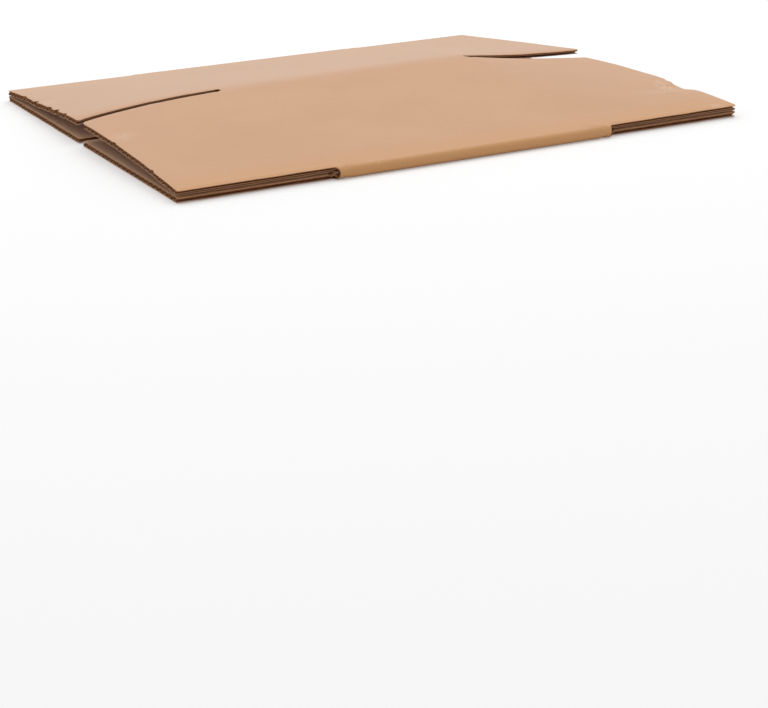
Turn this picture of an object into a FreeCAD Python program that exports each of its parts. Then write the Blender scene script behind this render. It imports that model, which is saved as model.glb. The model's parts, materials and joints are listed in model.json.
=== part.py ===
import FreeCAD, Part
import math
import os

import Sketcher

# A cube carton of single-wall board, glued into a sleeve and folded flat.
# X runs along the flutes (flap, wall, flap), Y across the two folds, Z up.
# The origin is under the middle of the sheet, on the surface it lies on.

SIZES = [
    ("panel_width", 155.0, "middle crease to outer fold, across the flutes"),
    ("wall_length", 158.0, "score line to score line, along the flutes"),
    ("flap_length", 77.5, "score line to a flap's free edge"),
    ("board_thickness", 3.0, "single-wall board"),
    ("liner_thickness", 0.3, "each outer face of the board"),
    ("medium_thickness", 0.35, "corrugated layer where it meets a liner"),
    ("flute_pitch", 6.5, "crest to crest"),
    ("crest_width", 1.2, "flat of a crest against its liner"),
    ("first_flute", 4.5, "middle crease to the first flute's centre"),
    ("fold_margin", 1.5, "unfluted stretch inside an outer fold"),
    ("layer_gap", 0.35, "between the lower and the upper layer at a fold"),
    ("ridge_rise", 15.5, "the middle crease has sprung up above the folds"),
    ("slot_width", 6.4, "slot between two flaps"),
    ("fold_set_back", 3.7, "a flap's side edge inside the outer fold"),
    ("corner_radius", 6.0, "worn corner of the upper near left flap"),
    ("seam_gap", 3.5, "cut edge of the fourth panel to the tab's crease"),
    ("tab_width", 35.0, "tab's crease to its free edge"),
    ("tab_taper", 18.0, "angle of the tab's two ends, degrees"),
    ("score_width", 2.4, "width of the pressed line across the lower flaps"),
    ("score_depth", 0.2, "depth of the pressed line across the lower flaps"),
    ("hinge_gap", 0.3, "between the wall and an upper flap at the score"),
]

# Two points nearer than this are the same point
SAME_POINT = 1e-6

doc = FreeCAD.newDocument("FlattenedCarton")
sheet = doc.addObject("Spreadsheet::Sheet", "Sizes")
for row, (alias, size, meaning) in enumerate(SIZES, start=1):
    sheet.set(f"A{row}", alias)
    sheet.set(f"B{row}", str(size))
    sheet.set(f"C{row}", meaning)
    sheet.setAlias(f"B{row}", alias)
doc.recompute()

# Formulas that several sub-parts share
BOARD = "Sizes.board_thickness"
HALF_WALL = "Sizes.wall_length / 2"
FOLD_RADIUS = "(Sizes.board_thickness + Sizes.layer_gap / 2)"
FOLD_LINE = f"(Sizes.panel_width - {FOLD_RADIUS})"
FLAP_EDGE = "(Sizes.panel_width - Sizes.fold_set_back)"
FLAP_END = f"({HALF_WALL} + Sizes.flap_length)"
HALF_SLOT = "Sizes.slot_width / 2"
CROWN = f"atan(Sizes.ridge_rise / {FOLD_LINE})"
TANGENT_Y = f"({FOLD_LINE} + {FOLD_RADIUS} * sin({CROWN}))"
TANGENT_Z = f"({FOLD_RADIUS} * (1 + cos({CROWN})))"
RIDGE = f"({TANGENT_Z} + {TANGENT_Y} * tan({CROWN}))"
HINGE_HEIGHT = "Sizes.hinge_gap / 2"
HALF_CREST = "Sizes.crest_width / 2"
HALF_BASE = f"(Sizes.flute_pitch / 2 - {HALF_CREST})"
FLUTE_RUN = f"(Sizes.panel_width - Sizes.fold_margin - Sizes.first_flute - {HALF_BASE})"
FLUTE_COUNT = f"round({FLUTE_RUN} / Sizes.flute_pitch)"
TAB_FLUTE = "(Sizes.first_flute + Sizes.flute_pitch / 2)"
TAB_COUNT = f"floor((Sizes.tab_width - {TAB_FLUTE}) / Sizes.flute_pitch) + 1"
BEND_SET_BACK = f"({BOARD} * tan(atan({BOARD} / Sizes.seam_gap) / 2))"
TAB_CUT = "((Sizes.tab_width - Sizes.seam_gap) * tan(Sizes.tab_taper))"
PAST_EDGE = "(Sizes.fold_set_back + Sizes.slot_width)"


def value_of(formula):
    """Number that a formula on the sheet gives now."""
    result = sheet.evalExpression(formula)
    return float(getattr(result, "Value", result))


def origin_plane(body, role):
    """Origin plane of a body, found by its role."""
    return [item for item in body.Origin.OriginFeatures if item.Role == role][0]


def new_sketch(body, label, role):
    """Sketch on one of its body's own origin planes."""
    sketch = body.newObject("Sketcher::SketchObject", label)
    sketch.AttachmentSupport = [(origin_plane(body, role), "")]
    sketch.MapMode = "FlatFace"
    return sketch


def bind(sketch, curve, end, axis, formula):
    """Hold one coordinate of a curve's end or centre at a formula."""
    distance = ("DistanceX", "DistanceY")[axis]
    index = sketch.addConstraint(Sketcher.Constraint(distance, curve, end, value_of(formula)))
    sketch.setExpression(f"Constraints[{index}]", formula)


def outline(sketch, corners, arcs=None):
    """Closed outline through corners; arcs gives the centre of each side that bulges out."""
    arcs = arcs or {}
    places = [FreeCAD.Vector(value_of(x), value_of(y), 0) for x, y in corners]
    area = sum(a.x * b.y - b.x * a.y for a, b in zip(places, places[1:] + places[:1]))
    turn = math.copysign(1, area)
    ends = []
    for number, start in enumerate(places):
        stop = places[(number + 1) % len(places)]
        if number not in arcs:
            ends.append((sketch.addGeometry(Part.LineSegment(start, stop)), 1, 2))
            continue
        hub = FreeCAD.Vector(*(value_of(formula) for formula in arcs[number]), 0)
        chord = stop - start
        bisector = FreeCAD.Vector(chord.y, -chord.x, 0).normalize()
        middle = hub + bisector * turn * (start - hub).Length
        curve = sketch.addGeometry(Part.Arc(start, middle, stop))
        forward = (sketch.getPoint(curve, 1) - start).Length < SAME_POINT
        ends.append((curve, 1, 2) if forward else (curve, 2, 1))
        axis = 0 if abs(bisector.x) > abs(bisector.y) else 1
        bind(sketch, curve, 3, axis, arcs[number][axis])
    for number, (curve, start_end, stop_end) in enumerate(ends):
        following = ends[(number + 1) % len(ends)]
        joint = Sketcher.Constraint("Coincident", curve, stop_end, following[0], following[1])
        sketch.addConstraint(joint)
        for axis, formula in enumerate(corners[number]):
            bind(sketch, curve, start_end, axis, formula)


def pad(body, label, sketch, length, both_ways=False, downward=False):
    """Pad of a sketch by a length formula."""
    feature = body.newObject("PartDesign::Pad", label)
    feature.Profile = sketch
    feature.SideType = "Symmetric" if both_ways else "One side"
    feature.Reversed = downward
    feature.setExpression("Length", length)
    doc.recompute()


def cut(body, label, sketch, length=None, upward=False):
    """Pocket of a sketch: through everything both ways, or upward by a length."""
    before = body.Shape.Volume
    feature = body.newObject("PartDesign::Pocket", label)
    feature.Profile = sketch
    if length is None:
        feature.SideType = "Two sides"
        feature.Type = "ThroughAll"
        feature.Type2 = "ThroughAll"
    else:
        feature.Reversed = upward
        feature.setExpression("Length", length)
    doc.recompute()
    if not body.Shape.Volume < before:
        raise ValueError(f"{label} cut nothing")
    return feature


def flute(sketch, centre, floor_height, outward=1):
    """Two openings of one flute, below a crest and above the next one."""
    low = f"({floor_height} + Sizes.liner_thickness)"
    high = f"({floor_height} + {BOARD} - Sizes.liner_thickness)"
    under_crest = f"({high} - Sizes.medium_thickness)"
    over_trough = f"({low} + Sizes.medium_thickness)"
    next_centre = f"({centre} + Sizes.flute_pitch / 2)"

    def at(middle, offset):
        return f"{outward} * ({middle} + {offset})"

    outline(sketch, [
        (at(centre, f"-1 * {HALF_BASE}"), low), (at(centre, HALF_BASE), low),
        (at(centre, HALF_CREST), under_crest), (at(centre, f"-1 * {HALF_CREST}"), under_crest)])
    outline(sketch, [
        (at(next_centre, f"-1 * {HALF_CREST}"), over_trough), (at(next_centre, HALF_CREST), over_trough),
        (at(next_centre, HALF_BASE), high), (at(next_centre, f"-1 * {HALF_BASE}"), high)])


def repeat(body, label, pocket, sketch, count, mirrored=False, backward=False):
    """Row of flutes along a sketch's own horizontal axis, on one side or both."""
    row = body.newObject("PartDesign::LinearPattern", label)
    row.Direction = (sketch, ["H_Axis"])
    row.Mode = "Spacing"
    row.setExpression("Offset", "Sizes.flute_pitch")
    row.setExpression("Occurrences", count)
    row.Reversed = backward
    if mirrored:
        mirror = body.newObject("PartDesign::Mirrored", label + "_mirror")
        mirror.MirrorPlane = (origin_plane(body, "XZ_Plane"), [""])
        both = body.newObject("PartDesign::MultiTransform", label + "_both_sides")
        both.Originals = [pocket]
        both.Transformations = [row, mirror]
        body.Tip = both
    else:
        row.Originals = [pocket]
        body.Tip = row
    doc.recompute()


def flap_outline(sketch, score, side, slot_edge, fold_edge, gap="0"):
    """Flap outline from a gap past its score line to its free edge."""
    start = f"({score} + {side} * {gap})"
    free_edge = f"({score} + {side} * Sizes.flap_length)"
    outline(sketch, [
        (start, slot_edge), (free_edge, slot_edge), (free_edge, fold_edge), (start, fold_edge)])


def worn_flap_outline(sketch, side, across, slot_edge, fold_edge, gap):
    """Upper flap outline whose free corner at the slot is worn round."""
    start = f"({side} * {gap})"
    free_edge = f"({side} * Sizes.flap_length)"
    round_start = f"({free_edge} - {side} * Sizes.corner_radius)"
    round_end = f"({slot_edge} + {across} * Sizes.corner_radius)"
    outline(sketch, [
        (start, slot_edge), (round_start, slot_edge), (free_edge, round_end),
        (free_edge, fold_edge), (start, fold_edge)],
        arcs={1: (round_start, round_end)})


# Folded and glued sheet: lower layer, sleeve, glue tab
def make_folded_sheet():
    body = doc.addObject("PartDesign::Body", "folded_sheet")
    body.Label = "folded_sheet"

    lower = new_sketch(body, "lower_layer", "YZ_Plane")
    outline(lower, [
        (f"-1 * {FOLD_LINE}", "0"), (f"-1 * {BEND_SET_BACK}", "0"),
        (f"-1 * {BEND_SET_BACK}", BOARD), (f"-1 * {FOLD_LINE}", BOARD)])
    outline(lower, [
        ("Sizes.seam_gap", "0"), (FOLD_LINE, "0"), (FOLD_LINE, BOARD), ("Sizes.seam_gap", BOARD)])
    pad(body, "lower_layer_pad", lower, "Sizes.wall_length", both_ways=True)

    flaps = new_sketch(body, "lower_flaps", "XY_Plane")
    for side in (1, -1):
        score = f"{side} * {HALF_WALL}"
        flap_outline(flaps, score, side, f"-1 * {HALF_SLOT}", f"-1 * {FLAP_EDGE}")
        flap_outline(flaps, score, side, "Sizes.seam_gap", FLAP_EDGE)
    pad(body, "lower_flaps_pad", flaps, BOARD)

    sleeve = new_sketch(body, "sleeve", "YZ_Plane")
    inside_y = f"({FOLD_LINE} + Sizes.layer_gap / 2 * sin({CROWN}))"
    inside_z = f"({FOLD_RADIUS} + Sizes.layer_gap / 2 * cos({CROWN}))"
    ridge_inside = f"({RIDGE} - {BOARD} / cos({CROWN}))"
    outline(sleeve, [
        (FOLD_LINE, "0"), (TANGENT_Y, TANGENT_Z), ("0", RIDGE),
        (f"-1 * {TANGENT_Y}", TANGENT_Z), (f"-1 * {FOLD_LINE}", "0"),
        (f"-1 * {FOLD_LINE}", BOARD), (f"-1 * {inside_y}", inside_z),
        ("0", ridge_inside), (inside_y, inside_z), (FOLD_LINE, BOARD)],
        arcs={0: (FOLD_LINE, FOLD_RADIUS), 3: (f"-1 * {FOLD_LINE}", FOLD_RADIUS)})
    pad(body, "sleeve_pad", sleeve, "Sizes.wall_length", both_ways=True)

    tab = new_sketch(body, "glue_tab", "YZ_Plane")
    outline(tab, [
        (f"-1 * {BEND_SET_BACK}", "0"), ("0", "0"), ("Sizes.seam_gap", BOARD),
        ("Sizes.tab_width", BOARD), ("Sizes.tab_width", f"2 * {BOARD}"),
        (f"Sizes.seam_gap - {BEND_SET_BACK}", f"2 * {BOARD}"), (f"-1 * {BEND_SET_BACK}", BOARD)])
    pad(body, "glue_tab_pad", tab, "Sizes.wall_length", both_ways=True)

    tapers = new_sketch(body, "tab_tapers", "XY_Plane")
    tapers.setExpression("AttachmentOffset.Base.z", BOARD)
    for side in (1, -1):
        outline(tapers, [
            (f"{side} * {HALF_WALL}", "Sizes.seam_gap"), (f"{side} * {HALF_WALL}", "Sizes.tab_width"),
            (f"{side} * ({HALF_WALL} - {TAB_CUT})", "Sizes.tab_width")])
    cut(body, "tab_tapers_cut", tapers, BOARD, upward=True)

    slots = new_sketch(body, "slots", "XY_Plane")
    outside = f"({FLAP_END} + Sizes.slot_width)"
    for side in (1, -1):
        outline(slots, [
            (f"{side} * {HALF_WALL}", f"-1 * {HALF_SLOT}"), (f"{side} * {outside}", f"-1 * {HALF_SLOT}"),
            (f"{side} * {outside}", HALF_SLOT), (f"{side} * {HALF_WALL}", HALF_SLOT)],
            arcs={3: (f"{side} * {HALF_WALL}", "0")})
        for across in (1, -1):
            outline(slots, [
                (f"{side} * {outside}", f"{across} * {FLAP_EDGE}"),
                (f"{side} * {HALF_WALL}", f"{across} * {FLAP_EDGE}"),
                (f"{side} * ({HALF_WALL} - {HALF_SLOT})", f"{across} * ({FLAP_EDGE} + {HALF_SLOT})"),
                (f"{side} * ({HALF_WALL} - {HALF_SLOT})", f"{across} * ({FLAP_EDGE} + {PAST_EDGE})"),
                (f"{side} * {outside}", f"{across} * ({FLAP_EDGE} + {PAST_EDGE})")],
                arcs={1: (f"{side} * {HALF_WALL}", f"{across} * ({FLAP_EDGE} + {HALF_SLOT})")})
    cut(body, "slots_cut", slots)

    scores = new_sketch(body, "scores", "XY_Plane")
    for side in (1, -1):
        near_x = f"{side} * ({HALF_WALL} - Sizes.score_width / 2)"
        far_x = f"{side} * ({HALF_WALL} + Sizes.score_width / 2)"
        outline(scores, [
            (near_x, "-1 * Sizes.panel_width"), (far_x, "-1 * Sizes.panel_width"),
            (far_x, "Sizes.panel_width"), (near_x, "Sizes.panel_width")])
    cut(body, "scores_cut", scores, "Sizes.score_depth", upward=True)

    low_flutes = new_sketch(body, "lower_flutes", "YZ_Plane")
    flute(low_flutes, "Sizes.first_flute", "0")
    pocket = cut(body, "lower_flute_cut", low_flutes)
    repeat(body, "lower_flute_row", pocket, low_flutes, FLUTE_COUNT, mirrored=True)

    high_flutes = new_sketch(body, "upper_flutes", "YZ_Plane")
    high_flutes.setExpression("AttachmentOffset.Base.y", RIDGE)
    high_flutes.setExpression("AttachmentOffset.Rotation.Angle", f"-1 * {CROWN}")
    flute(high_flutes, "Sizes.first_flute", f"(-1 * {BOARD})")
    pocket = cut(body, "upper_flute_cut", high_flutes)
    repeat(body, "upper_flute_row", pocket, high_flutes, FLUTE_COUNT, mirrored=True)

    tab_flutes = new_sketch(body, "tab_flutes", "YZ_Plane")
    flute(tab_flutes, TAB_FLUTE, BOARD)
    pocket = cut(body, "tab_flute_cut", tab_flutes)
    repeat(body, "tab_flute_row", pocket, tab_flutes, TAB_COUNT)
    return body


# One upper flap, in its own frame: the origin is on its hinge line
def make_upper_flap(label, side, across, worn=False):
    body = doc.addObject("PartDesign::Body", label)
    body.Label = label

    blank = new_sketch(body, label + "_blank", "XY_Plane")
    blank.setExpression("AttachmentOffset.Base.z", f"-1 * {HINGE_HEIGHT}")
    slot_edge = f"{across} * {HALF_SLOT}"
    fold_edge = f"{across} * {FLAP_EDGE} / cos({CROWN})"
    if worn:
        worn_flap_outline(blank, side, across, slot_edge, fold_edge, "Sizes.hinge_gap / 2")
    else:
        flap_outline(blank, "0", side, slot_edge, fold_edge, "Sizes.hinge_gap / 2")
    pad(body, label + "_pad", blank, BOARD, downward=True)

    flutes = new_sketch(body, label + "_flutes", "YZ_Plane")
    flute(flutes, "(Sizes.first_flute - Sizes.flute_pitch)", f"(-1 * {BOARD} - {HINGE_HEIGHT})", across)
    pocket = cut(body, label + "_flute_cut", flutes)
    repeat(body, label + "_flute_row", pocket, flutes, f"{FLUTE_COUNT} + 1", backward=across < 0)

    middle = f"create(<<vector>>; {side} * {HALF_WALL}; 0; {RIDGE} + {HINGE_HEIGHT})"
    slope = f"create(<<rotation>>; create(<<vector>>; 1; 0; 0); {-across} * {CROWN})"
    body.setExpression("Placement", f"create(<<placement>>; {middle}; {slope})")
    doc.recompute()
    return body


parts = [
    make_folded_sheet(),
    make_upper_flap("upper_near_left_flap", -1, -1, worn=True),
    make_upper_flap("upper_far_left_flap", -1, 1),
    make_upper_flap("upper_near_right_flap", 1, -1),
    make_upper_flap("upper_far_right_flap", 1, 1),
]

# Every object is sound before anything is written
doc.recompute()
for item in doc.Objects:
    if "Invalid" in item.State or "Error" in item.State:
        raise ValueError(f"{item.Name} failed: {item.State}")
for part in parts:
    if part.Shape.isNull() or not part.Shape.isValid() or len(part.Shape.Solids) != 1:
        raise ValueError(f"{part.Label} isn't one sound solid")

os.makedirs("parts", exist_ok=True)
for part in parts:
    part.Shape.exportStep(f"parts/{part.Label}.step")
    box = part.Shape.BoundBox
    print(part.Label, f"{part.Shape.Volume:.1f} mm3")
    print(f"    {box.XLength:.2f} x {box.YLength:.2f} x {box.ZLength:.2f} mm")
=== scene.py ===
import json
import logging
import math
from dataclasses import dataclass
from enum import Enum
from typing import Optional

import bmesh
import bpy
from mathutils import Matrix, Vector, noise


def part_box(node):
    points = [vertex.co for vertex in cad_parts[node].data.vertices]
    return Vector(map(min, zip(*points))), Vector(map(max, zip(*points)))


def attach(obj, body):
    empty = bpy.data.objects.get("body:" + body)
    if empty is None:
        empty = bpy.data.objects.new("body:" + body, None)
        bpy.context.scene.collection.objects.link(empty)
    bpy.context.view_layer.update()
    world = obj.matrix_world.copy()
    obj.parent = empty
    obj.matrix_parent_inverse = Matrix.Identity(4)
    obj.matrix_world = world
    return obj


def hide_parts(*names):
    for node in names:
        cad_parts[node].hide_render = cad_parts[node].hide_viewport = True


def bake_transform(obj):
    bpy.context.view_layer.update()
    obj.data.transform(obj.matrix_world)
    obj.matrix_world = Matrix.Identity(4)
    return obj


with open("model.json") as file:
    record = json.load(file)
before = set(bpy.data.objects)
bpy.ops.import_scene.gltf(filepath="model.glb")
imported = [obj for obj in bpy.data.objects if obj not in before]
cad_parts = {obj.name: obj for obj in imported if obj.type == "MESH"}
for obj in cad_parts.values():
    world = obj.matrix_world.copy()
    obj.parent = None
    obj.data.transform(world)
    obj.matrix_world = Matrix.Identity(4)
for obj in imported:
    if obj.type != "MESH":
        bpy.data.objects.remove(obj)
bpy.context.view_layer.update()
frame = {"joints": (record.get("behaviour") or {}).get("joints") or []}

log = logging.getLogger("flat_carton")

MM = 0.001


class Layer(Enum):
    """The three papers that single-wall board is glued up from."""

    OUTER = "outer_liner"
    MEDIUM = "fluted_medium"
    INNER = "inner_liner"


class Side(Enum):
    """Which end of the flutes a flap is at."""

    LEFT = -1
    RIGHT = 1


class Across(Enum):
    """Which half of the carton a flap is on."""

    NEAR = -1
    FAR = 1


@dataclass(frozen=True)
class Board:
    """Single-wall corrugated board, in metres.

    Attributes:
        thickness: From one outer face to the other.
        liner: Thickness of each flat paper.
        medium: Thickness of the wavy paper.
        pitch: Crest to crest.
        first_crest: From a middle crease to the first crest of the wave.
        flank: Power that steepens the wave's flanks; 1 leaves a sine.
    """

    thickness: float = 3.0 * MM
    liner: float = 0.32 * MM
    medium: float = 0.24 * MM
    pitch: float = 6.5 * MM
    first_crest: float = 4.5 * MM
    flank: float = 0.85

    def wave(self, distance: float) -> float:
        """Depth of the medium's outer face below the board's outer face.

        Args:
            distance: From the nearest middle crease, across the flutes.

        Returns:
            A depth between the two liners.
        """
        room = self.thickness - 2 * self.liner - self.medium
        turn = math.tau * (distance - self.first_crest) / self.pitch
        return self.liner + room * (0.5 - 0.5 * self.rounded(math.cos(turn)))

    def rounded(self, height: float) -> float:
        """Sine wave with its flanks steepened a little, as a roll presses them."""
        return math.copysign(abs(height) ** self.flank, height)


@dataclass(frozen=True)
class CartonSizes:
    """Sizes of the folded carton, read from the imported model.

    Attributes:
        half_wall: Middle of the carton to a flap's score line.
        half_length: Middle of the carton to a flap's free edge.
        fold: Middle of the carton to the outside of a fold.
        ridge: Height of the middle crease of the upper layer.
        hinge: Height of the upper flaps' hinge line at the middle.
        layer_gap: Between the two layers at a fold.
        slot: Width of the slots at the middle crease and the seam.
        flap_edge_inside_fold: Outside of a fold to the edges of the flaps beside it.
        seam_gap: Glue tab's crease to the cut edge that meets it.
        tab_width: Glue tab's crease to its edge.
        tab_taper: Angle at which the tab's ends are cut.
        ridge_radius: Outer radius of the sprung-up middle crease.
    """

    half_wall: float
    half_length: float
    fold: float
    ridge: float
    hinge: float
    layer_gap: float = 0.35 * MM
    slot: float = 6.4 * MM
    flap_edge_inside_fold: float = 3.7 * MM
    seam_gap: float = 3.5 * MM
    tab_width: float = 35.0 * MM
    tab_taper: float = math.radians(18)
    ridge_radius: float = 80.0 * MM

    @classmethod
    def from_frame(cls) -> "CartonSizes":
        """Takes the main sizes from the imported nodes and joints.

        Returns:
            The sizes.
        """
        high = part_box("folded_sheet")[1]
        joints = {joint["name"]: joint for joint in frame["joints"]}
        pivot = joints["near_right_flap_crease"]["pos_m"]
        return cls(half_wall=pivot[0], half_length=high[0], fold=high[1], ridge=high[2],
                   hinge=pivot[2])


@dataclass(frozen=True)
class Run:
    """One stretch of the sleeve's outer face: a straight line or an arc.

    Attributes:
        start: Where it starts, as across and up.
        heading: Direction at the start, in radians from across.
        length: Length along the outer face.
        turn: Whole turn over the length, in radians, anticlockwise positive.
    """

    start: Vector
    heading: float
    length: float
    turn: float = 0.0

    def at(self, distance: float) -> tuple[Vector, float]:
        """Point and heading at a distance along the run.

        Args:
            distance: From the run's start.

        Returns:
            The point, as across and up, and the heading there.
        """
        if abs(self.turn) < 1e-9:
            step = Vector((math.cos(self.heading), math.sin(self.heading)))
            return self.start + step * distance, self.heading
        bend = self.turn / self.length
        heading = self.heading + bend * distance
        swing = Vector((math.sin(heading) - math.sin(self.heading),
                        math.cos(self.heading) - math.cos(heading)))
        return self.start + swing / bend, heading

    def end(self) -> tuple[Vector, float]:
        """Point and heading at the run's far end."""
        return self.at(self.length)


class Sleeve:
    """The folded sleeve's section, as a path that the flat board is bent round.

    Distance along the path starts at the glue tab's crease, goes along the lower near
    panel, round the near fold, over the two upper panels, round the far fold and back
    along the lower far panel to its cut edge. Negative distances are on the glue tab.

    Attributes:
        ROUNDS: Times that the panels' slope is worked out again from its own result.
    """

    ROUNDS = 20

    def __init__(self, sizes: CartonSizes, board: Board) -> None:
        """Lays the runs end to end.

        Args:
            sizes: Sizes of the carton.
            board: Sizes of its board.
        """
        self.sizes = sizes
        self.board = board
        radius = board.thickness + sizes.layer_gap / 2
        straight = sizes.fold - radius
        crown = math.atan2(sizes.ridge - 2 * radius, straight)
        for _ in range(self.ROUNDS):
            reach = straight + radius * math.sin(crown)
            rise = sizes.ridge - radius * (1 + math.cos(crown))
            crown = math.atan2(rise, reach)
        slope = math.hypot(reach, rise) - sizes.ridge_radius * math.tan(crown)
        plan = [(straight, 0.0), (radius * (math.pi - crown), crown - math.pi), (slope, 0.0),
                (sizes.ridge_radius * 2 * crown, -2 * crown), (slope, 0.0),
                (radius * (math.pi - crown), crown - math.pi), (straight - sizes.seam_gap, 0.0)]
        point, heading = Vector((0.0, 0.0)), math.pi
        self.runs: list[tuple[float, Run]] = []
        travelled = 0.0
        for length, turn in plan:
            run = Run(point, heading, length, turn)
            self.runs.append((travelled, run))
            travelled += length
            point, heading = run.end()
        self.crown = crown
        self.total = travelled
        self.near_fold = straight + plan[1][0] / 2
        self.ridge = straight + plan[1][0] + slope + plan[3][0] / 2
        self.far_fold = 2 * self.ridge - self.near_fold
        self.fold_slot = plan[1][0] / 2 + sizes.flap_edge_inside_fold - radius

    def on_tab(self, distance: float) -> tuple[Vector, Vector]:
        """Place on the glue tab, which steps up over the far panel.

        Args:
            distance: Round the sleeve, below 0 on the tab.

        Returns:
            The point, as across and up, and the inward direction there.
        """
        across = -distance
        ramp = min(across / self.sizes.seam_gap, 1.0)
        up = self.board.thickness * ramp * ramp * (3 - 2 * ramp)
        return Vector((across, up)), Vector((0.0, 1.0))

    def place(self, x: float, distance: float, depth: float) -> Vector:
        """Where a point of the flat board goes when the carton is folded.

        Args:
            x: Along the flutes.
            distance: Along the path, on the outer face.
            depth: Below the outer face, inward.

        Returns:
            The point in the carton's frame.
        """
        if distance < 0:
            point, inward = self.on_tab(distance)
        else:
            begin, run = next(item for item in reversed(self.runs) if distance >= item[0])
            point, heading = run.at(distance - begin)
            inward = Vector((math.sin(heading), -math.cos(heading)))
        place = point + inward * depth
        return Vector((x, place.x, place.y))

    def crest_distance(self, distance: float) -> float:
        """Distance from the middle crease of the layer that a point is on.

        Args:
            distance: Round the sleeve.

        Returns:
            The distance, never less than nothing.
        """
        if distance < self.near_fold:
            return abs(distance)
        if distance > self.far_fold:
            return self.total + self.sizes.seam_gap - distance
        return abs(distance - self.ridge)


@dataclass(frozen=True)
class Hang:
    """How far a flap has sagged or sprung, worst at the corner beside the middle slot.

    Attributes:
        corner: Drop of the slot corner of the free edge.
        middle: Drop of the free edge half-way to the fold.
        bow: Bend along the flap: -1 sets in late, 0 is straight, above 0 sets in at the crease.
        curl: Extra drop of the last centimetres of the slot corner.
    """

    corner: float
    middle: float
    bow: float
    curl: float = 0.0

    def at(self, along: float, beside_slot: float) -> float:
        """Drop of one point of the flap, without the curl.

        Args:
            along: From the crease, 0, to the free edge, 1.
            beside_slot: From the fold, 0, to the middle slot, 1.

        Returns:
            The drop.
        """
        fall = math.log(self.middle / self.corner) / math.log(0.5)
        return self.corner * beside_slot ** fall * along * (1 + self.bow * (1 - along))


@dataclass(frozen=True)
class Nick:
    """A small tear in a flap's free edge.

    Attributes:
        distance: From the middle crease, along the free edge.
        depth: How far it eats into the outer liner.
        width: Along the edge.
        below: Share of the depth to which the other two papers are torn.
    """

    distance: float
    depth: float
    width: float
    below: float = 0.45


@dataclass(frozen=True)
class Dent:
    """A place where a flap's free edge has been knocked down.

    Attributes:
        distance: From the middle crease, along the free edge.
        depth: Greatest drop.
        along_edge: Half-width along the edge.
        inward: How far it runs in from the edge.
    """

    distance: float
    depth: float
    along_edge: float
    inward: float

    def at(self, crest: float, from_edge: float) -> float:
        """Drop at a distance from the middle crease and one from the free edge."""
        spread = ((crest - self.distance) / self.along_edge) ** 2 + (from_edge / self.inward) ** 2
        return self.depth * math.exp(-spread)


@dataclass(frozen=True)
class FlapForm:
    """What tells one upper flap from the others.

    Attributes:
        name: Piece and body name.
        node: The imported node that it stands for.
        side: Which end of the flutes.
        across: Which half of the carton.
        hang: How it has sagged.
        corner_radius: Radius that its slot corner has worn to.
        nicks: Small tears in its free edge.
        dents: Places where its free edge is knocked down.
    """

    # name: Start of the piece's name, before its _board ending.
    name: str
    node: str
    side: Side
    across: Across
    hang: Hang
    corner_radius: float = 1.2 * MM
    nicks: tuple[Nick, ...] = ()
    dents: tuple[Dent, ...] = ()


FLAPS = (
    FlapForm("near_left_flap", "upper_near_left_flap", Side.LEFT, Across.NEAR,
             Hang(7.0 * MM, 1.6 * MM, -0.8, 0.4 * MM), 6.0 * MM,
             (Nick(61 * MM, 0.7 * MM, 5 * MM), Nick(118 * MM, 0.9 * MM, 4 * MM))),
    FlapForm("far_left_flap", "upper_far_left_flap", Side.LEFT, Across.FAR,
             Hang(6.8 * MM, 2.8 * MM, -0.7, 0.6 * MM), 2.5 * MM,
             (Nick(27 * MM, 1.4 * MM, 5 * MM), Nick(44 * MM, 2.2 * MM, 7 * MM),
              Nick(58 * MM, 1.3 * MM, 9 * MM), Nick(89 * MM, 2.8 * MM, 7 * MM),
              Nick(112 * MM, 1.0 * MM, 12 * MM)),
             (Dent(89 * MM, 0.7 * MM, 7 * MM, 9 * MM),)),
    FlapForm("near_right_flap", "upper_near_right_flap", Side.RIGHT, Across.NEAR,
             Hang(9.3 * MM, 2.4 * MM, 0.3), 1.5 * MM,
             (Nick(90 * MM, 1.3 * MM, 5 * MM), Nick(97 * MM, 1.0 * MM, 7 * MM)),
             (Dent(104 * MM, 1.9 * MM, 9 * MM, 22 * MM),)),
    FlapForm("far_right_flap", "upper_far_right_flap", Side.RIGHT, Across.FAR,
             Hang(5.3 * MM, 2.6 * MM, 0.7), 1.2 * MM),
)


@dataclass(frozen=True)
class Wear:
    """How handling has changed the plain folded board.

    Attributes:
        edge: How far a cut edge across the flutes has drawn back.
        fray: Fine unevenness of that edge.
        wander: Slow unevenness of that edge.
        nick_power: Below 1 a nick is blunt, at 1 it is pointed.
        lower_corner: Radius of a lower flap's corner at the middle or the seam.
        fold_corner: Radius of a flap's corner beside a fold.
        swell: Slow unevenness of the upper panels.
        left_sag: Extra drop of the ridge towards the left flaps.
        sag_from: Where that sag starts, along the flutes.
        sag_reach: Over what length it sets in.
        squeezed_along: Share by which an edge along the flutes is pressed flat.
        squeezed_across: The same for an edge across the flutes.
        along_reach: How far the first squeeze runs in from its edge.
        across_reach: How far the second one does.
        outer_score: How far a score line dents the outer liner.
        inner_score: How far it dents the inner liner.
        score_half: Half-width of a score line.
    """

    edge: float = 0.34 * MM
    fray: float = 0.10 * MM
    wander: float = 0.20 * MM
    nick_power: float = 0.7
    lower_corner: float = 1.0 * MM
    fold_corner: float = 1.2 * MM
    swell: float = 0.30 * MM
    left_sag: float = 1.5 * MM
    sag_from: float = 60.0 * MM
    sag_reach: float = 136.0 * MM
    squeezed_along: float = 0.34
    squeezed_across: float = 0.10
    along_reach: float = 1.3 * MM
    across_reach: float = 1.4 * MM
    outer_score: float = 0.08 * MM
    inner_score: float = 1.1 * MM
    score_half: float = 1.2 * MM


def uneven(x: float, y: float, z: float) -> float:
    """Smooth noise, from about -1 to 1."""
    return noise.noise(Vector((x, y, z)))


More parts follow.
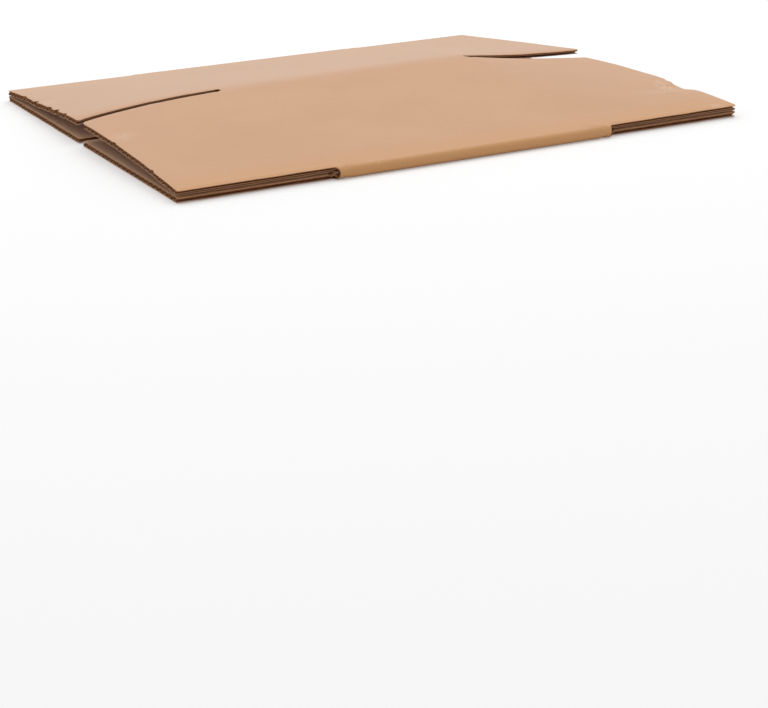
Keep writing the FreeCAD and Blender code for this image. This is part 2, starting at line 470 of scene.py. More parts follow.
class Blank:
    """The flat board that the carton is folded from, as grids of columns and rows.

    Columns run across the flutes at set places along them, rows run along the flutes at
    set distances round the sleeve. Every layer of every piece is cut from the same grid,
    so that the pieces meet edge to edge. Lists of places are in millimetres.

    Attributes:
        SLOT_END: Length of a slot's rounded inner end.
        EASE: Length over which the rows close up beyond a slot's end.
        REACH: Half-width of the finely divided strip at a slot or bend.
        TAB_RAMP: Middle of the glue tab's step up.
        TAB_INSET: How much shorter the tab's crease is than a panel, at each end.
        SETTLE: Rows beside a cut, from it.
        END_COLUMNS: Columns beside a slot's end, from it.
        SCORE_COLUMNS: Columns beside a score line, from it.
        PANEL_COLUMNS: Columns of the panels, from the middle.
        FLAP_COLUMNS: Columns of the flaps, from the middle.
        PLAIN_PANEL: Columns of the panels of the sleeve's fluted paper.
        PLAIN_FLAP: Columns of the flaps of the sleeve's fluted paper.
        WAVE_ROWS: Rows to one flute.
        FLAP_ROW: Greatest distance between rows of a flap's liners.
        SLEEVE_ROW: The same for the sleeve's liners.
        CURVED_ROW: The same at a slot or bend.
        LEAST_ROW: Least distance between rows.
        SAME_POINT: Points closer than this are one.
        TRIM_FROM: Where the columns start to follow a worn free edge.
    """

    SLOT_END = 3.2 * MM
    EASE = 6.0 * MM
    REACH = 14.0 * MM
    TAB_RAMP = -2.0 * MM
    TAB_INSET = 1.8 * MM
    SETTLE = (0.0, 0.15, 0.6, 1.3, 2.2, 3.3, 4.6, 6.2)
    END_COLUMNS = (0.0, 0.15, 0.6, 1.3, 2.0, 2.6)
    SCORE_COLUMNS = (0.0, 0.6, 1.2)
    PANEL_COLUMNS = (0, 12, 24, 36, 48, 60, 69.8, 74)
    FLAP_COLUMNS = (81.5, 85, 90, 96, 103, 110, 117, 124, 131, 138, 143, 147, 150, 152.5, 154.5, 155.6)
    PLAIN_PANEL = (0, 30, 60, 69.8)
    PLAIN_FLAP = (90, 120, 150)
    WAVE_ROWS = 10
    FLAP_ROW = 1.5 * MM
    SLEEVE_ROW = 3.2 * MM
    CURVED_ROW = 0.65 * MM
    LEAST_ROW = 0.02 * MM
    SAME_POINT = 1e-6
    TRIM_FROM = 143.0 * MM

    def __init__(self, sizes: CartonSizes, board: Board, sleeve: Sleeve, wear: Wear) -> None:
        """Works out the lines that the cuts follow.

        Args:
            sizes: Sizes of the carton.
            board: Sizes of its board.
            sleeve: The folded section.
            wear: How worn it is.
        """
        self.sizes = sizes
        self.board = board
        self.sleeve = sleeve
        self.wear = wear
        self.inner_end = sizes.half_wall - self.SLOT_END
        self.flap_reach = sleeve.ridge - sleeve.near_fold - sleeve.fold_slot
        self.bends = (self.TAB_RAMP, sleeve.near_fold, sleeve.ridge, sleeve.far_fold)
        self.cuts = (
            (0.0, sizes.slot / 2),
            (sleeve.near_fold, sleeve.fold_slot),
            (sleeve.ridge, sizes.slot / 2),
            (sleeve.far_fold, sleeve.fold_slot),
        )

    def columns(self, fine: bool) -> list[float]:
        """Places along the flutes.

        Args:
            fine: Whether the flaps have enough columns to bend.

        Returns:
            The places in rising order.
        """
        panel = self.PANEL_COLUMNS if fine else self.PLAIN_PANEL
        flap = self.FLAP_COLUMNS if fine else self.PLAIN_FLAP
        half = [place * MM for place in panel]
        half += [self.inner_end + step * MM for step in self.END_COLUMNS]
        half += [self.sizes.half_wall + step * MM for step in self.SCORE_COLUMNS]
        half += [place * MM for place in flap] + [self.sizes.half_length]
        return sorted({-place for place in half} | set(half))

    def rows(self, step: float) -> list[float]:
        """Distances round the sleeve.

        Args:
            step: Greatest distance between rows on the flat panels.

        Returns:
            The distances in rising order, from the glue tab's edge to the cut edge.
        """
        first, last = -self.sizes.tab_width, self.sleeve.total
        keys = {first, -self.sizes.seam_gap, 0.0, last}
        for centre, half in self.cuts:
            keys.add(centre)
            for settle in self.SETTLE:
                keys |= {centre - half - settle * MM, centre + half + settle * MM, last - settle * MM}
        rows = [first]
        for key in sorted(key for key in keys if first < key <= last):
            gap = key - rows[-1]
            if gap < self.LEAST_ROW:
                continue
            curved = any(abs((key + rows[-1]) / 2 - bend) < self.REACH for bend in self.bends)
            count = max(1, math.ceil(gap / (min(step, self.CURVED_ROW) if curved else step)))
            rows += [rows[-1] + gap * (index + 1) / count for index in range(count)]
        return rows

    def in_sleeve(self, x: float, distance: float) -> bool:
        """Whether a point of the flat board is on the sleeve piece.

        Args:
            x: Along the flutes.
            distance: Round the sleeve.

        Returns:
            True on the panels, the lower flaps and the glue tab.
        """
        if distance < 0:
            return abs(x) < self.inner_end - self.TAB_INSET and distance > -self.sizes.tab_width
        if abs(x) < self.inner_end:
            return True
        lower_near = self.cuts[0][1] < distance < self.sleeve.near_fold - self.sleeve.fold_slot
        return lower_near or distance > self.sleeve.far_fold + self.sleeve.fold_slot

    def in_flap(self, form: FlapForm, x: float, distance: float) -> bool:
        """Whether a point of the flat board is on one upper flap.

        Args:
            form: The flap.
            x: Along the flutes.
            distance: Round the sleeve.

        Returns:
            True on the flap, from its slots' inner end outwards.
        """
        from_ridge = (distance - self.sleeve.ridge) * form.across.value
        beside = self.sizes.slot / 2 < from_ridge < self.flap_reach
        return beside and x * form.side.value >= self.inner_end

    def notched(self, x: float, distance: float) -> float:
        """Draws the rows together at a slot's rounded inner end.

        Args:
            x: Along the flutes.
            distance: Round the sleeve, on the plain grid.

        Returns:
            The distance that follows the slot's end.
        """
        inside = self.sizes.half_wall - abs(x)
        if distance < 0 or inside <= 0:
            return distance
        for centre, half in self.cuts:
            away = abs(distance - centre)
            if away >= self.REACH:
                continue
            if inside <= self.SLOT_END:
                edge = half * math.sqrt(max(0.0, 1 - (inside / self.SLOT_END) ** 2))
            else:
                edge = half * min(1.0, (inside - self.SLOT_END) / self.EASE)
            if away <= half:
                drawn = away * edge / half
            else:
                drawn = edge + (away - half) * (self.REACH - edge) / (self.REACH - half)
            return centre + math.copysign(drawn, distance - centre)
        return distance

    def edge_limit(self, distance: float, layer: Layer, form: Optional[FlapForm]) -> float:
        """How far a free edge reaches, with its worn corners, fraying and small tears.

        Args:
            distance: Round the sleeve.
            layer: Which paper, as each frays by itself.
            form: The upper flap, or None on the lower layer.

        Returns:
            The greatest distance from the middle of the carton.
        """
        wear = self.wear
        seed = list(Layer).index(layer) * 17.3
        fray = uneven(distance * 420, seed, 0.0) + 0.5 * uneven(distance * 1300, seed, 3.0)
        wander = uneven(distance * 45, 2.0 if form else 9.0, 5.0)
        limit = self.sizes.half_length - (wear.edge + wear.fray * fray + wear.wander * wander)
        crest = self.sleeve.crest_distance(distance)
        for nick in form.nicks if form else ():
            bite = max(0.0, 1 - abs(crest - nick.distance) / (nick.width / 2))
            share = 1.0 if layer is Layer.OUTER else nick.below
            limit -= share * nick.depth * bite ** wear.nick_power
        for radius, gap in self.corners(distance, form):
            if gap < radius:
                limit -= radius - math.sqrt(max(0.0, radius ** 2 - (radius - gap) ** 2))
        return limit

    def corners(self, distance: float, form: Optional[FlapForm]) -> list[tuple[float, float]]:
        """The worn corners at either end of a free edge.

        Args:
            distance: Round the sleeve.
            form: The upper flap, or None on the lower layer.

        Returns:
            The radius of each corner, and how far along the edge it is.
        """
        sleeve, slot = self.sleeve, self.sizes.slot / 2
        to_fold = min(abs(abs(distance - fold) - sleeve.fold_slot)
                      for fold in (sleeve.near_fold, sleeve.far_fold))
        if form:
            inner = (form.corner_radius, abs(abs(distance - sleeve.ridge) - slot))
        else:
            inner = (self.wear.lower_corner, min(abs(distance - slot), sleeve.total - distance))
        return [inner, (self.wear.fold_corner, to_fold)]

    def drop(self, x: float, distance: float, form: Optional[FlapForm]) -> float:
        """How far the board lies below its plain folded place.

        Args:
            x: Along the flutes.
            distance: Round the sleeve.
            form: The upper flap, or None elsewhere.

        Returns:
            A drop, never less than nothing.
        """
        wear, sleeve = self.wear, self.sleeve
        drop = 0.0
        if sleeve.near_fold < distance < sleeve.far_fold:
            inward = 1 - abs(distance - sleeve.ridge) / (sleeve.ridge - sleeve.near_fold)
            swell = uneven(x * 11, distance * 16, 1.7) + 0.4 * uneven(x * 34, distance * 40, 6.1)
            drop += wear.swell * (1 + swell) * min(1.0, inward * 4)
            leftward = min(1.0, max(0.0, (wear.sag_from - x) / wear.sag_reach))
            drop += wear.left_sag * inward * leftward ** 2 * (3 - 2 * leftward)
        if form and abs(x) > self.sizes.half_wall:
            drop += self.flap_drop(abs(x), abs(distance - sleeve.ridge), form)
        return drop

    def flap_drop(self, out: float, crest: float, form: FlapForm) -> float:
        """How far one upper flap hangs below the plane of its panel.

        Args:
            out: From the middle of the carton, along the flutes.
            crest: From the middle crease.
            form: The flap.

        Returns:
            The sag, the corner's curl and the dents together.
        """
        slot = self.sizes.slot / 2
        along = (out - self.sizes.half_wall) / (self.sizes.half_length - self.sizes.half_wall)
        near = 1 - max(0.0, crest - slot) / (self.flap_reach - slot)
        near = min(1.0, max(0.0, near))
        corner = max(0.0, along - 0.8) / 0.2 * max(0.0, 1 - (1 - near) * self.flap_reach / (18 * MM))
        dents = sum(dent.at(crest, self.sizes.half_length - out) for dent in form.dents)
        return form.hang.at(along, near) + form.hang.curl * corner ** 1.5 + dents

    def pinch(self, x: float, distance: float) -> float:
        """How far a cut edge has been squeezed flat.

        Args:
            x: Along the flutes.
            distance: Round the sleeve.

        Returns:
            The share of the way to the middle of the board, from 0 to 1.
        """
        wear = self.wear
        beside = min(abs(abs(distance - centre) - half) for centre, half in self.cuts)
        seam = min(self.sleeve.total - distance, distance + self.sizes.tab_width)
        beyond_end = min(1.0, max(0.0, (abs(x) - self.inner_end) / self.SLOT_END))
        along = max(beyond_end * math.exp(-(beside / wear.along_reach) ** 2),
                    math.exp(-(seam / wear.along_reach) ** 2))
        across = math.exp(-((self.sizes.half_length - abs(x)) / wear.across_reach) ** 2)
        worst = max(wear.squeezed_along * along, wear.squeezed_across * across)
        return worst * (0.8 + 0.5 * uneven(x * 70, distance * 70, 8.2))

    def score(self, x: float) -> float:
        """How far a flap's score line has pressed the board in, from 0 to 1."""
        off = abs(abs(x) - self.sizes.half_wall) / self.wear.score_half
        return 0.5 + 0.5 * math.cos(math.pi * off) if off < 1 else 0.0

    def depth(self, layer: Layer, x: float, distance: float, below: float) -> float:
        """How deep a point of one paper lies in the board.

        Args:
            layer: Which paper.
            x: Along the flutes.
            distance: Round the sleeve.
            below: Below the paper's own outer face.

        Returns:
            The depth below the board's outer face, scored and squeezed.
        """
        board, pressed = self.board, self.score(x)
        if layer is Layer.OUTER:
            depth = below + self.wear.outer_score * pressed
        elif layer is Layer.INNER:
            depth = board.thickness - board.liner + below - self.wear.inner_score * pressed
        else:
            depth = board.wave(self.sleeve.crest_distance(distance)) + below
            depth += (board.thickness * 0.09 - depth * 0.52) * pressed
        return depth + (board.thickness / 2 - depth) * self.pinch(x, distance)

    def flat(self, layer: Layer, form: Optional[FlapForm]) -> bmesh.types.BMesh:
        """Cuts one paper of one piece from the flat grid.

        Args:
            layer: Which paper.
            form: The upper flap, or None for the sleeve.

        Returns:
            The paper as a sheet with no thickness.
        """
        wavy = layer is Layer.MEDIUM
        columns = self.columns(fine=form is not None or not wavy)
        liner_row = self.FLAP_ROW if form else self.SLEEVE_ROW
        rows = self.rows(self.board.pitch / self.WAVE_ROWS if wavy else liner_row)
        mesh = bmesh.new()
        bmesh.ops.create_grid(mesh, x_segments=len(columns) - 1, y_segments=len(rows) - 1, size=1.0)
        for vert in mesh.verts:
            column = round((vert.co.x + 1) / 2 * (len(columns) - 1))
            row = round((vert.co.y + 1) / 2 * (len(rows) - 1))
            vert.co = Vector((columns[column], rows[row], 0.0))
        waste = []
        for face in mesh.faces:
            x, distance, _ = face.calc_center_median()
            if not (self.in_flap(form, x, distance) if form else self.in_sleeve(x, distance)):
                waste.append(face)
        bmesh.ops.delete(mesh, geom=waste, context="FACES")
        for vert in mesh.verts:
            vert.co.y = self.notched(vert.co.x, vert.co.y)
        bmesh.ops.remove_doubles(mesh, verts=mesh.verts, dist=self.SAME_POINT)
        for vert in mesh.verts:
            self.trim(vert, layer, form)
        return mesh

    def trim(self, vert: bmesh.types.BMVert, layer: Layer, form: Optional[FlapForm]) -> None:
        """Draws a point of the flat grid in to the worn outline.

        Args:
            vert: The point.
            layer: Which paper.
            form: The upper flap, or None for the sleeve.
        """
        x, distance = vert.co.x, vert.co.y
        if distance < 0:
            taper = math.tan(self.sizes.tab_taper) * max(0.0, -distance - self.sizes.seam_gap)
            vert.co.x = x * (1 - taper / self.inner_end)
        elif abs(x) > self.TRIM_FROM:
            room = self.edge_limit(distance, layer, form) - self.TRIM_FROM
            reach = room / (self.sizes.half_length - self.TRIM_FROM)
            vert.co.x = math.copysign(self.TRIM_FROM + (abs(x) - self.TRIM_FROM) * reach, x)

    def layer(self, layer: Layer, form: Optional[FlapForm]) -> bmesh.types.BMesh:
        """Cuts one paper of one piece, gives it its thickness and folds it.

        Args:
            layer: Which paper.
            form: The upper flap, or None for the sleeve.

        Returns:
            The folded paper as a closed mesh.
        """
        mesh = self.flat(layer, form)
        thickness = self.board.medium if layer is Layer.MEDIUM else self.board.liner
        bmesh.ops.solidify(mesh, geom=mesh.faces[:], thickness=thickness)
        bmesh.ops.recalc_face_normals(mesh, faces=mesh.faces)
        top = max(vert.co.z for vert in mesh.verts)
        for face in mesh.faces:
            face.smooth = True
            face.material_index = (Coat.EDGE if abs(face.normal.z) < 0.5 else Coat.of(layer)).value
        for edge in mesh.edges:
            edge.smooth = len({face.material_index for face in edge.link_faces}) == 1
        spot = mesh.verts.layers.float_vector.new("blank")
        for vert in mesh.verts:
            x, distance, height = vert.co
            depth = self.depth(layer, x, distance, top - height)
            vert[spot] = (x, distance, depth)
            vert.co = self.sleeve.place(x, distance, depth)
            vert.co.z = max(0.0, vert.co.z - self.drop(x, distance, form))
        return mesh


class Coat(Enum):
    """The finishes of a board piece, in the order of its material slots."""

    OUTSIDE = 0
    FLUTES = 1
    INSIDE = 2
    EDGE = 3

    @staticmethod
    def of(layer: Layer) -> "Coat":
        """The finish of one paper's faces."""
        return {Layer.OUTER: Coat.OUTSIDE, Layer.MEDIUM: Coat.FLUTES, Layer.INNER: Coat.INSIDE}[layer]


@dataclass
class Carton:
    """The flattened carton: one sleeve and four upper flaps, each of three papers.

    Attributes:
        blank: The flat board that they are cut from.
        finishes: Materials by finish.
        BEND_END: From a flap's score line to the outer end of a span that build works out for each flap.
    """

    BEND_END = 2.2 * MM

    blank: Blank
    finishes: dict[Coat, bpy.types.Material]

    def piece(self, name: str, form: Optional[FlapForm]) -> bpy.types.Object:
        """Builds one board piece and dresses it.

        Args:
            name: Its name.
            form: The upper flap, or None for the sleeve.

        Returns:
            The object, with its place in its mesh.
        """
        whole = bmesh.new()
        whole.verts.layers.float_vector.new("blank")
        for layer in Layer:
            paper = self.blank.layer(layer, form)
            sheet = bpy.data.meshes.new(f"{name}_{layer.value}")
            paper.to_mesh(sheet)
            paper.free()
            whole.from_mesh(sheet)
            bpy.data.meshes.remove(sheet)
        mesh = bpy.data.meshes.new(name)
        whole.to_mesh(mesh)
        whole.free()
        for coat in Coat:
            mesh.materials.append(self.finishes[coat])
        piece = bpy.data.objects.new(name, mesh)
        bpy.context.scene.collection.objects.link(piece)
        log.info("%s: %d faces", name, len(mesh.polygons))
        return piece

    def build(self) -> None:
        """Builds every piece and gives the sleeve its body."""
        sizes = self.blank.sizes
        sleeve = self.piece("carton_sleeve", None)
        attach(sleeve, "sheet")
        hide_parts("folded_sheet")
        for form in FLAPS:
            flap = self.piece(f"{form.name}_board", form)
            side = form.side.value
            start = (side * self.blank.inner_end, 0.0, sizes.hinge)
            end = (side * (sizes.half_wall + self.BEND_END), 0.0, sizes.hinge)
            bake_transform(flap)
            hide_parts(form.node)


class Wire:
    """A node's output that takes part in arithmetic; each operator adds one node."""

    def __init__(self, nodes: "Nodes", socket: bpy.types.NodeSocket) -> None:
        """Wraps one output of a node tree."""
        self.nodes = nodes
        self.socket = socket

    def beside(self, output: object) -> "Wire":
        """Another output of the same node."""
        return Wire(self.nodes, self.socket.node.outputs[output])

    def _math(self, operation: str, first: object, second: object = None) -> "Wire":
        """Adds a Math node for one operator."""
        values = {0: first} if second is None else {0: first, 1: second}
        return self.nodes.add("ShaderNodeMath", {"operation": operation}, values)

    def __add__(self, other: object) -> "Wire":
        """Sum."""
        return self._math("ADD", self, other)

    def __radd__(self, other: object) -> "Wire":
        """Sum with a number first."""
        return self._math("ADD", other, self)

    def __sub__(self, other: object) -> "Wire":
        """Difference."""
        return self._math("SUBTRACT", self, other)

    def __rsub__(self, other: object) -> "Wire":
        """Difference with a number first."""
        return self._math("SUBTRACT", other, self)

    def __mul__(self, other: object) -> "Wire":
        """Product."""
        return self._math("MULTIPLY", self, other)

    def __rmul__(self, other: object) -> "Wire":
        """Product with a number first."""
        return self._math("MULTIPLY", other, self)

    def __abs__(self) -> "Wire":
        """Absolute value."""
        return self._math("ABSOLUTE", self)

    def cosine(self) -> "Wire":
        """Cosine."""
        return self._math("COSINE", self)

    def least(self, other: object) -> "Wire":
        """The smaller of two values."""
        return self._math("MINIMUM", self, other)

    def most(self, other: object) -> "Wire":
        """The greater of two values."""
        return self._math("MAXIMUM", self, other)

    def ramp(self, low: float, high: float) -> "Wire":
        """Rises smoothly from 0 at low to 1 at high."""
        return self.nodes.add("ShaderNodeMapRange", {"interpolation_type": "SMOOTHSTEP"},
                              {"Value": self, "From Min": low, "From Max": high})


class Nodes:
    """A node tree with the one node that everything in it feeds."""

    def __init__(self, tree: bpy.types.NodeTree, surface: str) -> None:
        """Takes a tree and the name of its feeding point.

        Args:
            tree: The node tree.
            surface: Name of the node that everything feeds.
        """
        self.tree = tree
        self.surface = tree.nodes[surface]

    def add(self, kind: str, settings: dict[str, object], values: dict[object, object],
            output: object = 0) -> Wire:
        """Makes one node.

        Args:
            kind: The node's type.
            settings: Its properties, which are set first.
            values: Its inputs, as numbers, colours or wires.
            output: Which output to return.

        Returns:
            The output as a wire.
        """
        node = self.tree.nodes.new(kind)
        for name, value in settings.items():
            setattr(node, name, value)
        for key, value in values.items():
            self.fill(node.inputs[key], value)
        return Wire(self, node.outputs[output])

    def fill(self, socket: bpy.types.NodeSocket, value: object) -> None:
        """Sets one input, or links it where the value is a wire.

        Args:
            socket: The input.
            value: A number, a colour or a wire.
        """
        if isinstance(value, Wire):
            self.tree.links.new(value.socket, socket)
        else:
            socket.default_value = value

    def feed(self, name: str, value: object) -> None:
        """Sets or links one input of the surface."""
        self.fill(self.surface.inputs[name], value)


class Shader(Nodes):
    """One material's node tree."""

    def __init__(self, name: str) -> None:
        """Starts a material with a Principled shader and an output."""
        self.material = bpy.data.materials.new(name)
        self.material.use_nodes = True
        super().__init__(self.material.node_tree, "Principled BSDF")

    def place(self) -> Wire:
        """Place on the flat board: along the flutes, round the sleeve, and depth."""
        return self.add("ShaderNodeAttribute", {"attribute_name": "blank"}, {}, "Vector")

    def noise(self, place: Wire, scale: float, detail: float = 2.0, roughness: float = 0.5) -> Wire:
        """Cloudy noise from 0 to 1."""
        return self.add("ShaderNodeTexNoise", {}, {"Vector": place, "Scale": scale, "Detail": detail,
                                                   "Roughness": roughness}, "Fac")

    def stretched(self, place: Wire, factors: tuple[float, float, float]) -> Wire:
        """Place with each axis multiplied."""
        return self.add("ShaderNodeVectorMath", {"operation": "MULTIPLY"}, {0: place, 1: factors})

    def mixed(self, factor: Wire, first: object, second: object) -> Wire:
        """One colour turning into another."""
        return self.add("ShaderNodeMix", {"data_type": "RGBA"}, {0: factor, 6: first, 7: second}, 2)

    def bump(self, height: Wire) -> None:
        """Raises the surface by a height in millimetres."""
        normal = self.add("ShaderNodeBump", {}, {"Strength": 1.0, "Distance": MM, "Height": height})
        self.feed("Normal", normal)


def srgb(red: int, green: int, blue: int) -> tuple[float, float, float, float]:
    """Linear colour of a screen colour.

    Args:
        red: From 0 to 255.
        green: From 0 to 255.
        blue: From 0 to 255.

    Returns:
        The colour as a shader takes it.
    """
    def linear(part: int) -> float:
        """One channel."""
        share = part / 255
        return share / 12.92 if share <= 0.04045 else ((share + 0.055) / 1.055) ** 2.4
    return linear(red), linear(green), linear(blue), 1.0


def grey(shade: float) -> tuple[float, float, float, float]:
    """A linear grey."""
    return shade, shade, shade, 1.0


@dataclass(frozen=True)
class Mark:
    """A rubbed or dirty spot on the outside.

    Attributes:
        x: Along the flutes.
        from_ridge: Round the sleeve from the upper middle crease, the far way positive.
        size: Half-width.
        colour: What it turns to.
        strength: How much of that shows.
        ragged: How broken its outline is.
    """

    x: float
    from_ridge: float
    size: float
    colour: tuple[int, int, int]
    strength: float
    ragged: float = 7.0

    def shown(self, shader: Shader, place: Wire, grain: Wire, ridge: float) -> Wire:
        """How much of the mark shows at each point.

        Args:
            shader: The material that it is in.
            place: Place on the flat board.
            grain: Noise that breaks its outline.
            ridge: Distance of the upper middle crease.

        Returns:
            A share from 0 to its strength.
        """
        centre = (self.x, ridge + self.from_ridge, 0.0)
        away = shader.add("ShaderNodeVectorMath", {"operation": "DISTANCE"}, {0: place, 1: centre}, "Value")
        broken = away + (grain - 0.5) * (self.ragged * self.size)
        return (1 - broken.ramp(0.3 * self.size, self.size)) * self.strength


SPECK = Mark(-12.9 * MM, 100 * MM, 1.1 * MM, (104, 62, 48), 0.95, 0.6)
MARKS = (
    SPECK,
    Mark(147.5 * MM, -101 * MM, 4.5 * MM, (236, 206, 184), 0.45),
    Mark(149.0 * MM, -93 * MM, 4.0 * MM, (238, 208, 188), 0.40),
    Mark(139.5 * MM, -117 * MM, 3.5 * MM, (184, 134, 102), 0.35),
    Mark(146.0 * MM, -149 * MM, 3.0 * MM, (236, 208, 186), 0.40),
    Mark(-149.0 * MM, -53 * MM, 6.0 * MM, (233, 201, 176), 0.28),
    Mark(-151.0 * MM, 74 * MM, 4.0 * MM, (233, 204, 182), 0.28),
    Mark(66.0 * MM, -151 * MM, 5.0 * MM, (190, 142, 104), 0.30),
)


@dataclass(frozen=True)
class Kraft:
    """Kraft paper, with its fibres, flecks and the faint ribs of the flutes below it.

    Attributes:
        name: Material name.
        plain: Usual colour.
        deep: Colour of the darker clouds.
        fold: Colour of the painted warm shade towards a fold.
        painted_far_sheen: Colour of the painted pale sheen on the panels beyond the upper middle crease.
        roughness: Usual roughness.
        marks: Spots on it.
        dark_fleck: Colour of the dark flecks.
        pale_fleck: Colour of the pale flecks.
        rib_hollow_shade: Colour of the painted shade between two crests of the flutes.
        ribs: Height of the ribs, in millimetres.
        far_sheen_share: How much of the painted pale sheen shows.
        sheen: Weight of the soft sheen of the fibres.
        sheen_roughness: Its roughness.
    """

    name: str
    plain: tuple[int, int, int]
    deep: tuple[int, int, int]
    fold: tuple[int, int, int]
    painted_far_sheen: tuple[int, int, int]
    roughness: float
    marks: tuple[Mark, ...] = ()
    dark_fleck: tuple[int, int, int] = (118, 84, 58)
    pale_fleck: tuple[int, int, int] = (236, 208, 180)
    rib_hollow_shade: tuple[int, int, int] = (150, 108, 78)
    ribs: float = 0.012
    far_sheen_share: float = 0.4
    sheen: float = 0.22
    sheen_roughness: float = 0.4

    def material(self, sleeve: Sleeve, board: Board) -> bpy.types.Material:
        """Makes the material.

        Args:
            sleeve: The folded section, for the places of its folds.
            board: The board, for the flutes' pitch.

        Returns:
            The material.
        """
        shader = Shader(self.name)
        place = shader.place()
        distance = shader.add("ShaderNodeSeparateXYZ", {}, {0: place}).beside(1)
        to_fold = abs(distance - sleeve.near_fold).least(abs(distance - sleeve.far_fold))
        turn = (abs(distance - sleeve.ridge) - board.first_crest) * (math.tau / board.pitch)
        rib = turn.cosine()
        cloud = shader.noise(place, 16.0, 3.0, 0.55)
        grain = shader.noise(shader.stretched(place, (0.45, 1.0, 1.0)), 900.0, 4.0, 0.65)
        fibre = shader.noise(shader.stretched(place, (0.25, 1.0, 1.0)), 2600.0, 2.0, 0.6)
        dark = shader.noise(place, 1150.0, 1.0, 0.5).ramp(0.70, 0.78)
        pale = shader.noise(shader.stretched(place, (1.0, 0.4, 1.0)), 700.0, 1.0, 0.5).ramp(0.68, 0.80)
        # Panels beyond the upper middle crease, which get the painted pale sheen and less of the painted
        # fold shade.
        beyond = (distance - sleeve.ridge).ramp(-4 * MM, 26 * MM)
        # Band towards each fold that carries the painted warm shade and a smoother roughness.
        fold_shade_band = 1 - to_fold.ramp(3 * MM, 34 * MM)
        layers = [
            (cloud.ramp(0.30, 0.70) * 0.55 + grain * 0.35, self.deep),
            # Painted pale sheen on the far panels.
            (beyond * self.far_sheen_share, self.painted_far_sheen),
            # Painted warm shade towards the folds, weaker beyond the upper middle crease.
            (fold_shade_band * (0.75 + 0.25 * cloud) * (1 - 0.6 * beyond), self.fold),
            (dark * 0.30, self.dark_fleck),
            (pale * 0.22, self.pale_fleck),
            # Painted shade in the hollows between the flutes' crests.
            ((0.5 - 0.5 * rib) * 0.018, self.rib_hollow_shade),
        ]
        layers += [(mark.shown(shader, place, grain, sleeve.ridge), mark.colour) for mark in self.marks]
        colour = srgb(*self.plain)
        for share, tint in layers:
            colour = shader.mixed(share, colour, srgb(*tint))
        shader.feed("Base Color", colour)
        shader.feed("Roughness", self.roughness + 0.10 * grain - 0.06 * fold_shade_band)
        off_fold = to_fold.ramp(3 * MM, 9 * MM)
        shader.bump(rib * off_fold * self.ribs + grain * 0.020 + fibre * 0.012 + cloud * 0.10)
        shader.feed("Specular IOR Level", 0.5)
        shader.feed("Sheen Weight", self.sheen)
        shader.feed("Sheen Roughness", self.sheen_roughness)
        return shader.material


@dataclass(frozen=True)
class RawPaper:
    """Unprinted recycled paper: the fluted medium, or fuzzy cut edges.

    Attributes:
        name: Material name.
        light: Lighter colour.
        dark: Darker colour.
        grain: Grains to a metre.
        roughness: Its roughness.
        specular: Its specular level.
    """

    name: str
    light: tuple[int, int, int]
    dark: tuple[int, int, int]
    grain: float
    roughness: float = 0.92
    specular: float = 0.25

    def material(self) -> bpy.types.Material:
        """Makes the material.

        Returns:
            The material.
        """
        shader = Shader(self.name)
        place = shader.place()
        coarse = shader.noise(place, self.grain, 4.0, 0.7)
        fine = shader.noise(place, self.grain * 4, 2.0, 0.6)
        mix = (coarse * 0.7 + fine * 0.4).ramp(0.30, 0.80)
        shader.feed("Base Color", shader.mixed(mix, srgb(*self.dark), srgb(*self.light)))
        shader.feed("Roughness", self.roughness)
        shader.feed("Specular IOR Level", self.specular)
        shader.bump(coarse * 0.10 + fine * 0.04)
        return shader.material


# The fold colour is a painted warm shade towards the folds.
# The pale colour for the far panels is a painted sheen.
OUTSIDE = Kraft("kraft_outside", plain=(217, 166, 123), deep=(208, 157, 114), fold=(214, 156, 99),
                painted_far_sheen=(218, 183, 156), roughness=0.56, marks=MARKS)
INSIDE = Kraft("kraft_inside", plain=(200, 158, 122), deep=(186, 144, 108), fold=(196, 154, 114),
               painted_far_sheen=(200, 158, 122), roughness=0.75)
FLUTES = RawPaper("fluted_paper", light=(182, 130, 92), dark=(142, 96, 64), grain=700.0)
EDGES = RawPaper("cut_edges", light=(212, 158, 116), dark=(154, 102, 66), grain=1400.0)


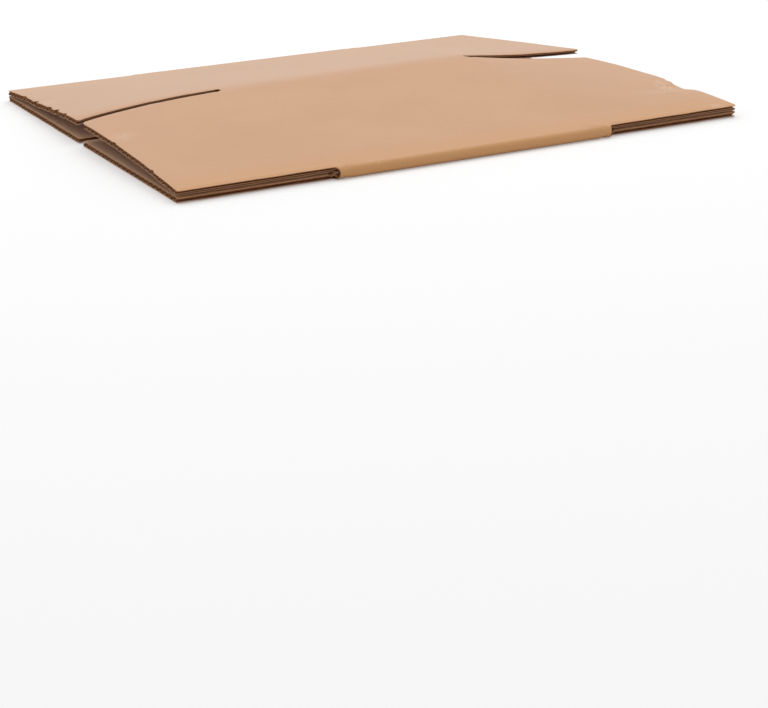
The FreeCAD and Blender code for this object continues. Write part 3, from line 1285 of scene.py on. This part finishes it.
@dataclass(frozen=True)
class Studio:
    """Camera, floor and lights.

    Attributes:
        image_width: Width of the picture, in pixels.
        focal_pixels: Focal length, in pixels.
        sensor: Width of the camera's sensor, in millimetres.
        clip_start: Nearest distance that the camera sees.
        azimuth: Way that the camera looks, from +Y towards +X.
        pitch: How far it looks down.
        roll: How far it leans.
        place: Where it stands.
        clearance: How far the floor lies below the carton.
        floor_half: Half the floor's width.
        floor_shade: The floor's own grey.
        floor_glow: What lightens the floor in the camera's eyes alone.
        lamp_size: Width and depth of the lamp.
        lamp_place: Where it hangs, turned to the carton.
        lamp_energy: Its power, in watts.
        ambient: Strength of the pale room around.
    """

    image_width: float = 768.0
    focal_pixels: float = 1700.0
    sensor: float = 36.0
    clip_start: float = 0.01
    azimuth: float = math.radians(25.35)
    pitch: float = math.radians(19.51)
    roll: float = math.radians(2.58)
    place: tuple[float, float, float] = (-0.3966, -0.8707, 0.1900)
    clearance: float = 0.2 * MM
    floor_half: float = 6.0
    floor_shade: float = 0.82
    floor_glow: float = 0.27
    lamp_size: tuple[float, float] = (2.4, 2.0)
    lamp_place: tuple[float, float, float] = (0.25, 0.55, 1.6)
    lamp_energy: float = 16.0
    ambient: float = 0.55

    def camera(self) -> None:
        """Sets the camera at the photograph's place."""
        lens = bpy.data.cameras.new("studio_camera")
        lens.sensor_width = self.sensor
        lens.lens = self.focal_pixels * self.sensor / self.image_width
        lens.clip_start = self.clip_start
        holder = bpy.data.objects.new("studio_camera", lens)
        bpy.context.scene.collection.objects.link(holder)
        forward = Vector((math.sin(self.azimuth) * math.cos(self.pitch),
                          math.cos(self.azimuth) * math.cos(self.pitch), -math.sin(self.pitch)))
        level = Vector((math.cos(self.azimuth), -math.sin(self.azimuth), 0.0))
        down = forward.cross(level)
        right = level * math.cos(self.roll) + down * math.sin(self.roll)
        down = down * math.cos(self.roll) - level * math.sin(self.roll)
        turn = Matrix((right, -down, -forward)).transposed()
        holder.matrix_world = Matrix.Translation(self.place) @ turn.to_4x4()
        bpy.context.scene.camera = holder

    def floor(self) -> None:
        """Lays the pale floor."""
        mesh = bpy.data.meshes.new("floor")
        sheet = bmesh.new()
        bmesh.ops.create_grid(sheet, x_segments=1, y_segments=1, size=self.floor_half)
        bmesh.ops.translate(sheet, verts=sheet.verts, vec=(0.0, 0.0, -self.clearance))
        sheet.to_mesh(mesh)
        sheet.free()
        shader = Shader("pale_floor")
        seen = shader.add("ShaderNodeLightPath", {}, {}, "Is Camera Ray")
        shader.feed("Base Color", grey(self.floor_shade))
        shader.feed("Roughness", 0.9)
        shader.feed("Emission Color", shader.mixed(seen, grey(0.0), grey(self.floor_glow)))
        shader.feed("Emission Strength", 1.0)
        mesh.materials.append(shader.material)
        floor = bpy.data.objects.new("floor", mesh)
        bpy.context.scene.collection.objects.link(floor)

    def lamp(self) -> None:
        """Hangs a large soft lamp."""
        lamp = bpy.data.lights.new("soft_box", "AREA")
        lamp.shape = "RECTANGLE"
        lamp.size, lamp.size_y = self.lamp_size
        lamp.energy = self.lamp_energy
        holder = bpy.data.objects.new("soft_box", lamp)
        bpy.context.scene.collection.objects.link(holder)
        place = Vector(self.lamp_place)
        holder.matrix_world = Matrix.Translation(place) @ place.to_track_quat("Z", "Y").to_matrix().to_4x4()

    def room(self) -> None:
        """Evens the light out with a pale room, white where it is seen directly or in a gloss."""
        world = bpy.data.worlds.new("pale_room")
        bpy.context.scene.world = world
        world.use_nodes = True
        room = Nodes(world.node_tree, "Background")
        seen = room.add("ShaderNodeLightPath", {}, {}, "Is Camera Ray")
        seen = seen.most(seen.beside("Is Glossy Ray")).most(seen.beside("Is Transmission Ray"))
        room.feed("Color", grey(1.0))
        room.feed("Strength", self.ambient + (1 - self.ambient) * seen)

    def build(self) -> None:
        """Sets up everything that isn't the carton."""
        bpy.context.scene.view_settings.view_transform = "Standard"
        self.camera()
        self.floor()
        self.lamp()
        self.room()


def main() -> None:
    """Builds the carton and its studio."""
    logging.basicConfig(level=logging.INFO, format="%(name)s: %(message)s")
    board = Board()
    sizes = CartonSizes.from_frame()
    sleeve = Sleeve(sizes, board)
    log.info("crown %.3f degrees, ridge at %.2f mm along the section",
             math.degrees(sleeve.crown), sleeve.ridge / MM)
    Studio().build()
    finishes = {
        Coat.OUTSIDE: OUTSIDE.material(sleeve, board),
        Coat.INSIDE: INSIDE.material(sleeve, board),
        Coat.FLUTES: FLUTES.material(),
        Coat.EDGE: EDGES.material(),
    }
    Carton(Blank(sizes, board, sleeve, Wear()), finishes).build()


if __name__ == "__main__":
    main()
